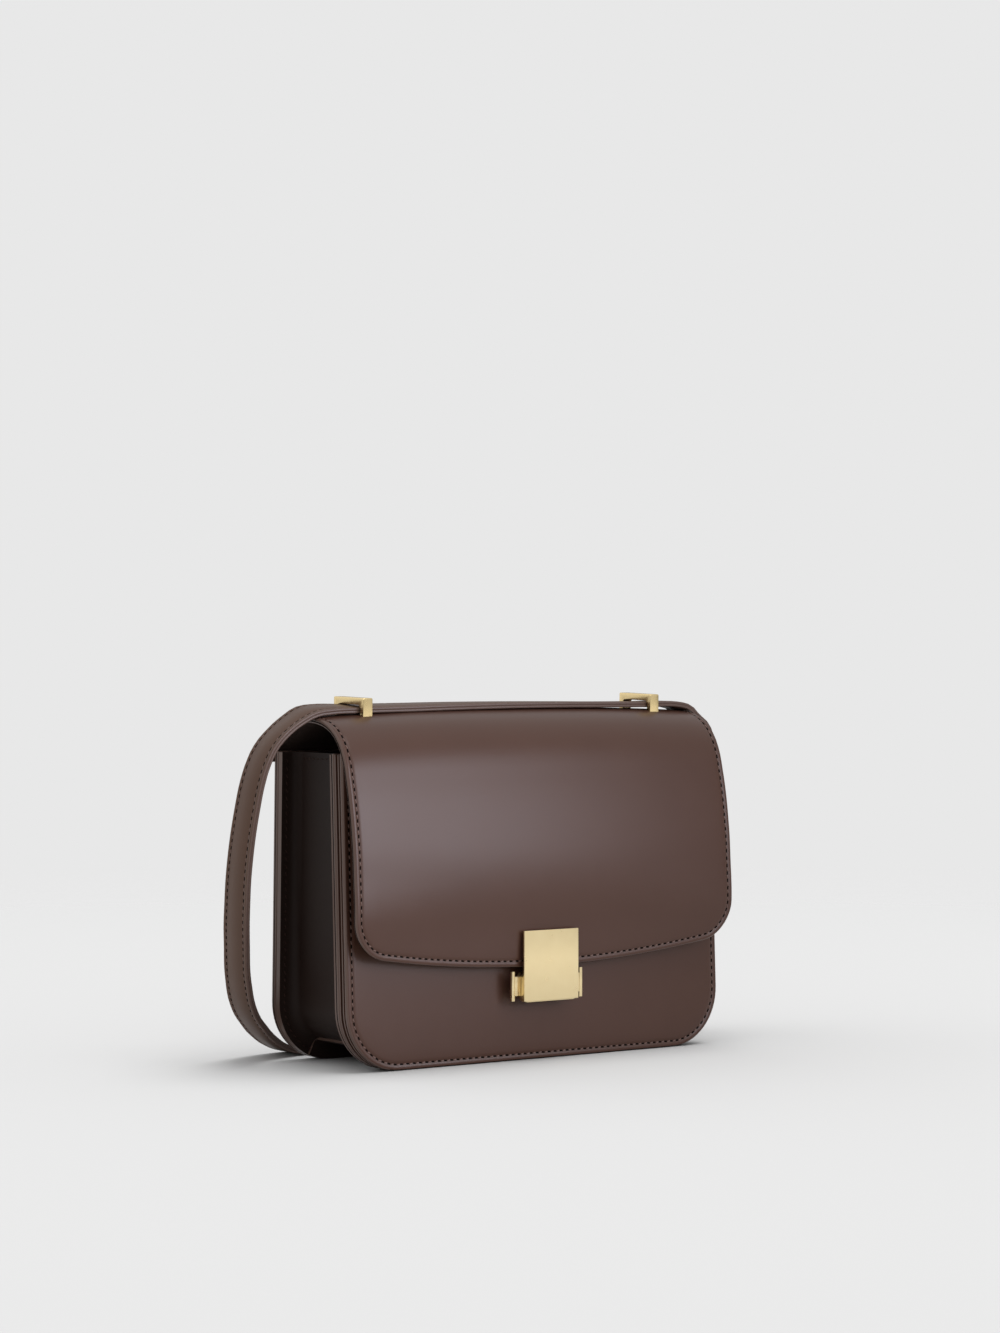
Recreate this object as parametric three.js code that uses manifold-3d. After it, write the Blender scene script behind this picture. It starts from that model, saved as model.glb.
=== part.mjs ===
// Box bag in stiff leather, closed: X runs across its width, its front faces -Y, Z is up, millimetres.
// The bag stands on the lower edges of its panels, and its strap rests on the floor behind it.
// Pieces are drawn about the middle of the body's depth; the finished group is then moved back, so that
// the origin is the middle of the front panel's lower edge.
import * as THREE from "three";
import { mergeVertices } from "three/addons/utils/BufferGeometryUtils.js";
import Module from "manifold-3d";

// Body: panels that lean outwards to the foot, given as the lean for each millimetre of height.
const bagWidth = 240;
const bodyHeight = 161;
const footDepth = 73.2;
const frontLean = 0.038;
const backLean = 0.022;
const cornerRadius = 31;
const seamGap = 0.3;
const edgeBevel = 0.5;

// Leather thicknesses, from the front backwards.
const frontThick = 3.2;
const pocketLeaf = 1.0;
const pocketValley = 1.8;
const pocketFold = 9;
const middleThick = 2.4;
const flangeThick = 1.4;
const backFlangeThick = 3.2;
const backThick = 4.4;

// Gusset of the main compartment: how far its wall is set in from the panel edges.
const gussetInset = 10;
const gussetWall = 1.6;
const gussetFillet = 5;
const gussetDrop = 0.5;
const baseExtra = 1.2;
const baseFillet = 1.5;
const lapAngle = 65;
const lapGapAngle = 1;

// Flap: its lining stands off the front panel, rises over the top and laps onto the back panel.
const flapOverhang = 2;
const flapThick = 3.2;
const flapStand = 9.3;
const flapRise = 15.1;
const flapCrown = 2.7;
const flapBottom = 49;
const flapSag = 7.7;
const flapCorner = 21;
const flapLap = 12;

// Strap loops.
const loopInset = 26.4;
const loopWidth = 5.9;
const loopBar = 3.1;
const loopFootBar = 2;
const loopFootDrop = 1.9;
const loopFillet = 2.5;
const loopForward = 1;
const loopLean = 1.4;
const loopSide = 0.5;
const loopRoom = 0.8;
const slotGap = 0.5;

// Strap.
const strapWidth = 20;
const strapThick = 3;
const strapLift = 2.8;
const strapSwellLeft = 31.5;
const strapSwellRight = 21;
const strapBack = 60;
const strapStations = 96;

// Clasp.
const plateWidth = 35.2;
const plateHeight = 36.6;
const plateThick = 1.4;
const plateDrop = 17.6;
const housingInset = 0.4;
const housingDrop = 0.5;
const housingHeight = 15.3;
const housingDepth = 3.9;
const housingWall = 1.2;
const housingRadius = 2.5;
const spacerHalf = 13;
const spacerSet = 2;
const spacerHeight = 13;
const spacerDepth = 1.6;
const rivetOut = 9.5;
const rivetRadius = 1.6;
const rivetHeadRadius = 3;
const rivetHead = 1.2;
const buttonHeight = 15.4;
const buttonRaise = 0.7;
const buttonThick = 2;
const buttonDepth = 1.9;
const buttonStand = 3.3;
const buttonSetback = 3.55;
const shankHeight = 10;
const shankDepth = 1.4;
const shankTip = 12;
const lipThick = 1.5;
const lipDepth = 1.5;
const catchHalf = 6.5;
const catchHeight = 8.8;
const catchPlateHalf = 14.5;
const catchPlateHeight = 13.4;
const catchPlateThick = 1.5;
const catchClearance = 1;
const studOut = 11;
const studRadius = 1.4;

// Lining in front of the body: height from the flap's lower edge to the body's top, stand-off.
const flapFront = [
  { up: -0.045, stand: 0.448 },
  { up: 0.08, stand: 0.538 },
  { up: 0.19, stand: 0.66 },
  { up: 0.31, stand: 0.87 },
  { up: 0.42, stand: 0.98 },
  { up: 0.53, stand: 1.0 },
  { up: 0.65, stand: 0.91 },
  { up: 0.77, stand: 0.745 },
  { up: 0.875, stand: 0.515 },
  { up: 0.978, stand: 0.196 },
];

// Lining over the body, front to back: distance from the middle towards the panel, rise.
const flapOver = [
  { side: "front", out: 0.896, rise: 0.384 },
  { side: "front", out: 0.673, rise: 0.742 },
  { side: "front", out: 0.374, rise: 0.94 },
  { side: "back", out: 0.0, rise: 1.0 },
  { side: "back", out: 0.351, rise: 0.94 },
  { side: "back", out: 0.614, rise: 0.772 },
  { side: "back", out: 0.832, rise: 0.497 },
  { side: "back", out: 0.965, rise: 0.185 },
];

// Strap's middle line, from over the flap down one side to the floor behind the bag: how far out as
// shares of the flap's half width and of the swell beyond it, how far back, and the height.
const strapPath = [
  { over: 0.0, swell: 0.0, back: 0.0, up: 1.0025 },
  { over: 0.3, swell: 0.0, back: 0.0, up: 1.002 },
  { over: 0.55, swell: 0.0, back: 0.0, up: 1.0008 },
  { over: 0.767, swell: 0.0, back: 0.0, up: 1.0 },
  { over: 0.935, swell: 0.0, back: 0.0, up: 0.997 },
  { over: 1.0, swell: 0.0, back: 0.0, up: 0.991 },
  { over: 1.0, swell: 0.225, back: 0.0, up: 0.972 },
  { over: 1.0, swell: 0.486, back: 0.0, up: 0.934 },
  { over: 1.0, swell: 0.683, back: 0.015, up: 0.892 },
  { over: 1.0, swell: 0.816, back: 0.03, up: 0.849 },
  { over: 1.0, swell: 0.914, back: 0.05, up: 0.803 },
  { over: 1.0, swell: 0.98, back: 0.09, up: 0.735 },
  { over: 1.0, swell: 1.0, back: 0.2, up: 0.577 },
  { over: 1.0, swell: 0.914, back: 0.33, up: 0.435 },
  { over: 1.0, swell: 0.79, back: 0.45, up: 0.334 },
  { over: 1.0, swell: 0.603, back: 0.58, up: 0.23 },
  { over: 1.0, swell: 0.308, back: 0.72, up: 0.138 },
  { over: 1.0, swell: 0.02, back: 0.8, up: 0.087 },
  { over: 0.934, swell: 0.0, back: 0.87, up: 0.051 },
  { over: 0.862, swell: 0.0, back: 0.92, up: 0.024 },
  { over: 0.772, swell: 0.0, back: 0.96, up: 0.004 },
  { over: 0.656, swell: 0.0, back: 0.985, up: 0.0 },
  { over: 0.33, swell: 0.0, back: 1.0, up: 0.0 },
  { over: 0.0, swell: 0.0, back: 1.0, up: 0.0 },
];

const wasm = await Module();
wasm.setup();

const leather = { color: 0x55433e, roughness: 0.55, metalness: 0 };
const darkLeather = { color: 0x3a2d2a, roughness: 0.6, metalness: 0 };
const metal = { color: 0xdcc492, roughness: 0.3, metalness: 1 };

// A geometry as a solid, and a solid as a named mesh.
function toSolid(geometry) {
  const loose = geometry.index ? geometry.toNonIndexed() : geometry;
  const bare = new THREE.BufferGeometry();
  bare.setAttribute("position", loose.getAttribute("position"));
  const merged = mergeVertices(bare, 1e-4);
  return new wasm.Manifold(
    new wasm.Mesh({
      numProp: 3,
      vertProperties: merged.getAttribute("position").array,
      triVerts: new Uint32Array(merged.index.array),
    }),
  );
}

function toMesh(name, solid, look) {
  const data = solid.getMesh();
  const geometry = new THREE.BufferGeometry();
  geometry.setAttribute("position", new THREE.BufferAttribute(data.vertProperties, 3));
  geometry.setIndex(new THREE.BufferAttribute(data.triVerts, 1));
  geometry.computeVertexNormals();
  const mesh = new THREE.Mesh(geometry, new THREE.MeshStandardMaterial(look));
  mesh.name = name;
  return mesh;
}

function block(x0, x1, y0, y1, z0, z1) {
  const geometry = new THREE.BoxGeometry(x1 - x0, y1 - y0, z1 - z0);
  geometry.translate((x0 + x1) / 2, (y0 + y1) / 2, (z0 + z1) / 2);
  return toSolid(geometry);
}

// A round pin along Y.
function pin(x, z, radius, y0, y1) {
  const geometry = new THREE.CylinderGeometry(radius, radius, y1 - y0, 24);
  geometry.translate(x, (y0 + y1) / 2, z);
  return toSolid(geometry);
}

function sheared(geometry, lean) {
  const shear = new THREE.Matrix4();
  shear.set(1, 0, 0, 0, 0, 1, lean, 0, 0, 0, 1, 0, 0, 0, 0, 1);
  return geometry.applyMatrix4(shear);
}

// A shape drawn in X and Z, given a thickness from yFront backwards.
function slab(shape, yFront, thick, bevel, curveSegments) {
  const geometry = new THREE.ExtrudeGeometry(shape, {
    depth: thick - 2 * bevel,
    bevelEnabled: bevel > 0,
    bevelThickness: bevel,
    bevelSize: bevel,
    bevelOffset: -bevel,
    bevelSegments: 2,
    curveSegments,
  });
  geometry.rotateX(Math.PI / 2);
  geometry.translate(0, yFront + thick - bevel, 0);
  return geometry;
}

// Rings of points joined into one closed body: flat is the ring's own outline, used for the two end faces.
function loft(rings, flat, closed) {
  const count = flat.length;
  const positions = rings.flat().flatMap((p) => [p.x, p.y, p.z]);
  const faces = [];
  const spans = closed ? rings.length : rings.length - 1;
  for (let i = 0; i < spans; i += 1) {
    const near = i * count;
    const far = ((i + 1) % rings.length) * count;
    for (let j = 0; j < count; j += 1) {
      const k = (j + 1) % count;
      faces.push(near + j, near + k, far + k, near + j, far + k, far + j);
    }
  }
  if (!closed) {
    const last = (rings.length - 1) * count;
    const cap = THREE.ShapeUtils.triangulateShape(flat, []);
    const turned = THREE.ShapeUtils.isClockWise(flat);
    for (const [a, b, c] of cap) {
      faces.push(...(turned ? [a, b, c] : [a, c, b]));
      faces.push(...(turned ? [last + a, last + c, last + b] : [last + a, last + b, last + c]));
    }
  }
  const geometry = new THREE.BufferGeometry();
  geometry.setAttribute("position", new THREE.Float32BufferAttribute(positions, 3));
  geometry.setIndex(faces);
  const solid = toSolid(geometry);
  if (solid.volume() > 0) return solid;
  for (let i = 0; i < faces.length; i += 3) {
    [faces[i + 1], faces[i + 2]] = [faces[i + 2], faces[i + 1]];
  }
  geometry.setIndex(faces);
  return toSolid(geometry);
}

// Where a point set a given depth in from the front or the back face lies, at a height.
function layerY(side, offset, z) {
  if (side === "front") return -footDepth / 2 + frontLean * z + offset;
  return footDepth / 2 - backLean * z - offset;
}

// The panels share one outline: straight sides, rounded lower corners, a straight foot.
function panelShape() {
  const half = bagWidth / 2;
  const shape = new THREE.Shape();
  shape.moveTo(-half, bodyHeight);
  shape.lineTo(-half, cornerRadius);
  shape.absarc(-half + cornerRadius, cornerRadius, cornerRadius, Math.PI, 1.5 * Math.PI);
  shape.lineTo(half - cornerRadius, 0);
  shape.absarc(half - cornerRadius, cornerRadius, cornerRadius, 1.5 * Math.PI, 2 * Math.PI);
  shape.lineTo(half, bodyHeight);
  shape.closePath();
  return shape;
}

function panel(offset, thick, side) {
  const lean = side === "front" ? frontLean : -backLean;
  const yFront = side === "front" ? layerY(side, offset, 0) : layerY(side, offset + thick, 0);
  return toSolid(sheared(slab(panelShape(), yFront, thick, edgeBevel, 14), lean));
}

// Stations along the left half of the outline, each with its inward direction.
function sideRun(top, steps) {
  const run = [];
  for (let i = 0; i < steps; i += 1) {
    const z = top + ((cornerRadius - top) * i) / steps;
    run.push({ x: -bagWidth / 2, z, nx: 1, nz: 0 });
  }
  return run;
}

function cornerRun(fromAngle, toAngle, steps) {
  const run = [];
  for (let i = 0; i <= steps; i += 1) {
    const a = THREE.MathUtils.degToRad(fromAngle + ((toAngle - fromAngle) * i) / steps);
    const nx = Math.cos(a);
    const nz = Math.sin(a);
    const x = -bagWidth / 2 + cornerRadius - cornerRadius * nx;
    run.push({ x, z: cornerRadius - cornerRadius * nz, nx, nz });
  }
  return run;
}

function mirrored(run) {
  return run.map((s) => ({ x: -s.x, z: s.z, nx: -s.nx, nz: s.nz })).reverse();
}

// A strip that follows the outline. Each section point has a depth inwards and an offset from a face.
function strip(run, section) {
  const rings = run.map((s) =>
    section.map((p) => {
      const z = s.z + p.depth * s.nz;
      return new THREE.Vector3(s.x + p.depth * s.nx, layerY(p.side, p.offset, z), z);
    }),
  );
  const flat = section.map((p) => new THREE.Vector2(p.depth, layerY(p.side, p.offset, bodyHeight / 2)));
  return loft(rings, flat, false);
}

const pocketFront = frontThick + seamGap;
const pocketBack = pocketFront + 2 * pocketLeaf + pocketValley;
const middleFront = pocketBack + seamGap;
const flangeFront = middleFront + middleThick + seamGap;
const backFlange = backThick + seamGap;

// Trough section of the main gusset, open outwards: two flanges, two fillets and the wall between.
function gussetSection(extra, fillet) {
  const wallFace = gussetInset - extra;
  const frontFace = flangeFront + flangeThick + extra;
  const backFace = backFlange + backFlangeThick + extra;
  const innerFace = gussetInset + gussetWall;
  const steps = 4;
  const section = [{ depth: 0, side: "front", offset: frontFace }];
  for (let i = 0; i <= steps; i += 1) {
    const a = (Math.PI / 2) * (i / steps);
    const depth = wallFace - fillet * (1 - Math.sin(a));
    section.push({ depth, side: "front", offset: frontFace + fillet * (1 - Math.cos(a)) });
  }
  for (let i = steps; i >= 0; i -= 1) {
    const a = (Math.PI / 2) * (i / steps);
    const depth = wallFace - fillet * (1 - Math.sin(a));
    section.push({ depth, side: "back", offset: backFace + fillet * (1 - Math.cos(a)) });
  }
  section.push({ depth: 0, side: "back", offset: backFace });
  section.push({ depth: 0, side: "back", offset: backFlange });
  section.push({ depth: innerFace, side: "back", offset: backFlange });
  section.push({ depth: innerFace, side: "front", offset: flangeFront });
  section.push({ depth: 0, side: "front", offset: flangeFront });
  return section;
}

function gussetSide(side) {
  const run = [
    ...sideRun(bodyHeight - gussetDrop, 5),
    ...cornerRun(0, lapAngle - lapGapAngle, 8),
  ];
  const placed = side < 0 ? run : mirrored(run);
  return strip(placed, gussetSection(0, gussetFillet));
}

function gussetBase() {
  const end = cornerRun(lapAngle, 90, 4);
  return strip([...end, ...mirrored(end)], gussetSection(baseExtra, baseFillet));
}

// Folded strip of the front pocket: two leaves joined at the fold, open outwards.
function pocketStrip() {
  const half = [...sideRun(bodyHeight - gussetDrop, 4), ...cornerRun(0, 90, 10)];
  const section = [
    { depth: 0, side: "front", offset: pocketFront },
    { depth: 0, side: "front", offset: pocketFront + pocketLeaf },
    { depth: pocketFold - pocketLeaf, side: "front", offset: pocketFront + pocketLeaf },
    { depth: pocketFold - pocketLeaf, side: "front", offset: pocketBack - pocketLeaf },
    { depth: 0, side: "front", offset: pocketBack - pocketLeaf },
    { depth: 0, side: "front", offset: pocketBack },
    { depth: pocketFold, side: "front", offset: pocketBack },
    { depth: pocketFold, side: "front", offset: pocketFront },
  ];
  return strip([...half, ...mirrored(half)], section);
}

const flapHalfWidth = bagWidth / 2 + flapOverhang;
const liningTop = bodyHeight + flapRise;
const flapTop = liningTop + flapThick;

// Side outline of the flap as two lines, lining and face, both from the lower edge over to the lap.
function flapLines() {
  const points = flapFront.map((p) => {
    const z = flapBottom + p.up * (bodyHeight - flapBottom);
    return new THREE.Vector2(layerY("front", -p.stand * flapStand, z), z);
  });
  for (const p of flapOver) {
    points.push(new THREE.Vector2(p.out * layerY(p.side, 0, bodyHeight), bodyHeight + p.rise * flapRise));
  }
  for (const share of [0.06, 0.5, 1]) {
    const z = bodyHeight - share * flapLap;
    points.push(new THREE.Vector2(layerY("back", -seamGap, z), z));
  }
  const line = new THREE.SplineCurve(points);
  const steps = 38;
  const lining = [];
  const face = [];
  for (let i = 0; i <= steps; i += 1) {
    const point = line.getPointAt(i / steps);
    const along = line.getTangentAt(i / steps);
    lining.push(point);
    face.push(new THREE.Vector2(point.x - along.y * flapThick, point.y + along.x * flapThick));
  }
  return { lining, face };
}

// The flap rises a little towards its middle, over the top only.
function crownLift(x, z) {
  const across = Math.cos((Math.PI / 2) * (x / flapHalfWidth)) ** 2;
  const foot = bodyHeight - flapLap;
  const upward = THREE.MathUtils.clamp((z - foot) / (flapTop - foot), 0, 1);
  return flapCrown * across * upward;
}

function flapOutline() {
  const end = flapHalfWidth - flapCorner;
  const endHeight = flapBottom + flapSag;
  const slope = (2 * flapSag) / end;
  const cornerTop = endHeight + flapCorner;
  const pull = 0.55 * flapCorner;
  const shape = new THREE.Shape();
  shape.moveTo(-flapHalfWidth - 1, bodyHeight - flapCorner);
  shape.lineTo(-flapHalfWidth - 1, cornerTop);
  shape.lineTo(-flapHalfWidth, cornerTop);
  shape.bezierCurveTo(
    -flapHalfWidth,
    cornerTop - pull,
    -end - pull,
    endHeight + slope * pull,
    -end,
    endHeight,
  );
  shape.quadraticCurveTo(0, endHeight - slope * end, end, endHeight);
  shape.bezierCurveTo(
    end + pull,
    endHeight + slope * pull,
    flapHalfWidth,
    cornerTop - pull,
    flapHalfWidth,
    cornerTop,
  );
  shape.lineTo(flapHalfWidth + 1, cornerTop);
  shape.lineTo(flapHalfWidth + 1, bodyHeight - flapCorner);
  shape.closePath();
  return shape;
}

const loopOut = bagWidth / 2 - loopInset;
const loopLength = strapWidth + 2 * (loopBar + loopSide);
const strapTop = flapTop + strapLift + strapThick / 2;
const loopTop = strapTop + strapThick / 2 + loopRoom + loopBar;
const loopShift = loopForward - Math.tan(THREE.MathUtils.degToRad(loopLean)) * (loopTop - flapTop);
const loopFoot = liningTop + crownLift(loopOut, liningTop) - loopFootDrop - loopFootBar;

const flapLine = flapLines();
const plateFoot = flapBottom - plateDrop;
const spacerFoot = flapBottom + spacerSet;
const rivetUp = spacerFoot + spacerHeight / 2;
const flapSeat = Math.min(
  ...flapLine.face.filter((p) => p.y > flapBottom && p.y < spacerFoot + spacerHeight + 3).map((p) => p.x),
);
const plateBack = flapSeat - seamGap - spacerDepth;
const plateFace = plateBack - plateThick;

function flapSolid() {
  const flat = [...flapLine.lining, ...flapLine.face.slice().reverse()];
  const rings = [];
  const stations = 12;
  for (let i = 0; i <= stations; i += 1) {
    const x = -flapHalfWidth + (2 * flapHalfWidth * i) / stations;
    rings.push(flat.map((p) => new THREE.Vector3(x, p.x, p.y + crownLift(x, p.y))));
  }
  const front = Math.min(...flapLine.face.map((p) => p.x)) - 5;
  const back = layerY("front", 0, flapBottom);
  const reach = flapHalfWidth + 0.5;
  const below = block(-reach, reach, front + 1, back - 1, flapBottom / 2, bodyHeight - flapCorner - 1);
  const keep = toSolid(slab(flapOutline(), front, back - front, 0, 16));
  let solid = loft(rings, flat, false).subtract(below.subtract(keep));
  for (const side of [-1, 1]) {
    for (const end of [-1, 1]) {
      const y = (end * (loopLength - loopBar)) / 2 - loopShift;
      const halfX = loopWidth / 2 + seamGap;
      const halfY = loopBar / 2 + slotGap;
      const x = side * loopOut;
      solid = solid.subtract(block(x - halfX, x + halfX, y - halfY, y + halfY, bodyHeight, loopTop));
    }
    solid = solid.subtract(pin(side * rivetOut, rivetUp, rivetRadius + seamGap, front, back));
  }
  return solid;
}

// Strap loop: a closed rectangular ring, its foot bar under the leather.
function loopSolid(side) {
  const half = loopLength / 2;
  const inner = half - loopBar;
  const ring = new THREE.Shape();
  ring.moveTo(-half, loopFoot);
  ring.lineTo(half, loopFoot);
  ring.lineTo(half, loopTop - 1);
  ring.quadraticCurveTo(half, loopTop, half - 1, loopTop);
  ring.lineTo(-half + 1, loopTop);
  ring.quadraticCurveTo(-half, loopTop, -half, loopTop - 1);
  ring.closePath();
  const hole = new THREE.Path();
  const roof = loopTop - loopBar;
  hole.moveTo(-inner, loopFoot + loopFootBar);
  hole.lineTo(-inner, roof - loopFillet);
  hole.quadraticCurveTo(-inner, roof, -inner + loopFillet, roof);
  hole.lineTo(inner - loopFillet, roof);
  hole.quadraticCurveTo(inner, roof, inner, roof - loopFillet);
  hole.lineTo(inner, loopFoot + loopFootBar);
  hole.closePath();
  ring.holes.push(hole);
  const bevel = 0.35;
  const geometry = new THREE.ExtrudeGeometry(ring, {
    depth: loopWidth - 2 * bevel,
    bevelThickness: bevel,
    bevelSize: bevel,
    bevelOffset: -bevel,
    bevelSegments: 1,
    curveSegments: 4,
  });
  const turn = new THREE.Matrix4();
  turn.makeBasis(
    new THREE.Vector3(0, 1, 0),
    new THREE.Vector3(0, 0, 1),
    new THREE.Vector3(1, 0, 0),
  );
  geometry.applyMatrix4(turn);
  geometry.translate(0, 0, -loopTop);
  geometry.rotateX(THREE.MathUtils.degToRad(loopLean));
  geometry.translate(side * loopOut - loopWidth / 2 + bevel, -loopForward, loopTop);
  return toSolid(geometry);
}

// Strap: a flat band swept round a closed line, its width kept level as nearly as the line allows.
function strapSolid() {
  const low = strapThick / 2 + 0.1;
  const half = (side, swell) =>
    strapPath.map((p) => {
      const x = side * (p.over * flapHalfWidth + p.swell * swell);
      const y = p.back * strapBack - (1 - p.back) * loopForward;
      return new THREE.Vector3(x, y, low + p.up * (strapTop - low));
    });
  const left = half(-1, strapSwellLeft);
  const right = half(1, strapSwellRight).slice(1, -1).reverse();
  const line = new THREE.CatmullRomCurve3([...left, ...right], true, "centripetal");
  line.arcLengthDivisions = 2000;
  const w = strapWidth / 2;
  const t = strapThick / 2;
  const c = 0.6;
  const flat = [
    [-w + c, -t],
    [w - c, -t],
    [w, -t + c],
    [w, t - c],
    [w - c, t],
    [-w + c, t],
    [-w, t - c],
    [-w, -t + c],
  ].map(([u, v]) => new THREE.Vector2(u, v));
  const rings = [];
  for (let i = 0; i < strapStations; i += 1) {
    const at = i / strapStations;
    const point = line.getPointAt(at);
    const along = line.getTangentAt(at);
    const across = new THREE.Vector3(0, 1, 0).addScaledVector(along, -along.y).normalize();
    const out = new THREE.Vector3().crossVectors(across, along);
    rings.push(
      flat.map((p) => point.clone().addScaledVector(across, p.x).addScaledVector(out, p.y)),
    );
  }
  return loft(rings, flat, true);
}

function rect(halfX, z0, z1) {
  const corners = [
    [-halfX, z0],
    [halfX, z0],
    [halfX, z1],
    [-halfX, z1],
  ];
  return new THREE.Shape(corners.map(([x, z]) => new THREE.Vector2(x, z)));
}

function roundedRect(halfX, z0, z1, radius) {
  const shape = new THREE.Shape();
  shape.moveTo(-halfX, z0 + radius);
  shape.quadraticCurveTo(-halfX, z0, -halfX + radius, z0);
  shape.lineTo(halfX - radius, z0);
  shape.quadraticCurveTo(halfX, z0, halfX, z0 + radius);
  shape.lineTo(halfX, z1 - radius);
  shape.quadraticCurveTo(halfX, z1, halfX - radius, z1);
  shape.lineTo(-halfX + radius, z1);
  shape.quadraticCurveTo(-halfX, z1, -halfX, z1 - radius);
  shape.closePath();
  return shape;
}

const housingFoot = plateFoot - housingDrop;
const housingHalf = plateWidth / 2 - housingInset;
const housingTop = housingFoot + housingHeight;
const housingBack = plateBack + housingDepth;
const buttonFace = plateFace + buttonSetback;
const shankFace = buttonFace + (buttonDepth - shankDepth) / 2;
const buttonMid = housingFoot + housingHeight / 2 + buttonRaise;

// Clasp plate with the lock housing, an open tray, behind its lower half and a riveted spacer behind the upper.
function claspSolid() {
  const face = rect(plateWidth / 2, plateFoot, plateFoot + plateHeight);
  let solid = toSolid(slab(face, plateFace, plateThick, 0.45, 2));
  const rim = roundedRect(housingHalf, housingFoot, housingTop, housingRadius);
  const cavity = roundedRect(
    housingHalf - housingWall,
    housingFoot + housingWall,
    housingTop - housingWall,
    housingRadius - housingWall,
  );
  const tray = toSolid(slab(rim, plateBack - 0.5, housingDepth + 0.5, 0, 6));
  const hollow = toSolid(slab(cavity, plateBack, housingDepth + 1, 0, 6));
  solid = solid.add(tray).subtract(hollow);
  const spacerBack = plateBack + spacerDepth;
  const spacerTop = spacerFoot + spacerHeight;
  solid = solid.add(
    block(-spacerHalf, spacerHalf, plateBack - 0.5, spacerBack, spacerFoot, spacerTop),
  );
  const headFront = spacerBack + flapThick + 4 * seamGap;
  for (const side of [-1, 1]) {
    const x = side * rivetOut;
    solid = solid.add(pin(x, rivetUp, rivetRadius, plateBack, headFront + 0.2));
    solid = solid.add(pin(x, rivetUp, rivetHeadRadius, headFront, headFront + rivetHead));
    const slot = shankHeight / 2 + seamGap;
    const x0 = side < 0 ? -housingHalf - 1 : housingHalf - housingWall - 1;
    solid = solid.subtract(
      block(
        x0,
        x0 + housingWall + 2,
        shankFace - seamGap,
        housingBack + 1,
        buttonMid - slot,
        buttonMid + slot,
      ),
    );
  }
  return solid;
}

// Squeeze button: a bar outside the housing, a flat shank through its slot and a lip inside.
function buttonSolid(side) {
  const inner = plateWidth / 2 + buttonStand;
  const z0 = buttonMid - buttonHeight / 2;
  const bar = roundedRect(buttonThick / 2, z0, z0 + buttonHeight, 0.7);
  const geometry = slab(bar, buttonFace, buttonDepth, 0.3, 3);
  geometry.translate(inner + buttonThick / 2, 0, 0);
  const wallInside = housingHalf - housingWall;
  const lipOut = wallInside - seamGap;
  const shank = block(
    shankTip,
    inner + buttonThick / 2,
    shankFace,
    shankFace + shankDepth,
    buttonMid - shankHeight / 2,
    buttonMid + shankHeight / 2,
  );
  const lip = block(
    lipOut - lipThick,
    lipOut,
    shankFace - lipDepth,
    shankFace + 0.2,
    buttonMid - shankHeight / 2 + 1,
    buttonMid + shankHeight / 2 - 1,
  );
  const solid = toSolid(geometry).add(shank).add(lip);
  return side > 0 ? solid : solid.mirror([1, 0, 0]);
}

// Catch: a plate studded to the front panel, its boss standing into the housing.
function catchSolid() {
  const z0 = buttonMid - catchPlateHeight / 2;
  const plate = roundedRect(catchPlateHalf, z0, z0 + catchPlateHeight, 2);
  const front = layerY("front", -seamGap - catchPlateThick, 0);
  let solid = toSolid(sheared(slab(plate, front, catchPlateThick, 0, 5), frontLean));
  const bossBack = layerY("front", -seamGap - catchPlateThick / 2, buttonMid);
  solid = solid.add(
    block(
      -catchHalf,
      catchHalf,
      plateBack + catchClearance,
      bossBack,
      buttonMid - catchHeight / 2,
      buttonMid + catchHeight / 2,
    ),
  );
  for (const side of [-1, 1]) {
    const y = layerY("front", 0, buttonMid);
    solid = solid.add(pin(side * studOut, buttonMid, studRadius, y - 1, y + frontThick));
  }
  return solid;
}

function frontSolid() {
  let solid = panel(0, frontThick, "front");
  const y = layerY("front", 0, buttonMid);
  for (const side of [-1, 1]) {
    const hole = pin(side * studOut, buttonMid, studRadius + seamGap, y - 3, y + frontThick + 3);
    solid = solid.subtract(hole);
  }
  return solid;
}

const bag = new THREE.Group();
bag.name = "box_bag";
bag.position.y = -layerY("front", frontThick / 2, 0);
bag.add(toMesh("front_panel", frontSolid(), leather));
bag.add(toMesh("pocket_gusset", pocketStrip(), darkLeather));
bag.add(toMesh("middle_panel", panel(middleFront, middleThick, "front"), leather));
bag.add(toMesh("gusset_left", gussetSide(-1), darkLeather));
bag.add(toMesh("gusset_right", gussetSide(1), darkLeather));
bag.add(toMesh("gusset_bottom", gussetBase(), darkLeather));
bag.add(toMesh("back_panel", panel(0, backThick, "back"), leather));
bag.add(toMesh("flap", flapSolid(), leather));
bag.add(toMesh("loop_left", loopSolid(-1), metal));
bag.add(toMesh("loop_right", loopSolid(1), metal));
bag.add(toMesh("strap", strapSolid(), leather));
bag.add(toMesh("clasp_plate", claspSolid(), metal));
bag.add(toMesh("button_left", buttonSolid(-1), metal));
bag.add(toMesh("button_right", buttonSolid(1), metal));
bag.add(toMesh("clasp_base", catchSolid(), metal));

export default bag;
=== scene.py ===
from math import atan, ceil, cos, hypot, pi, radians, sin

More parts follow.
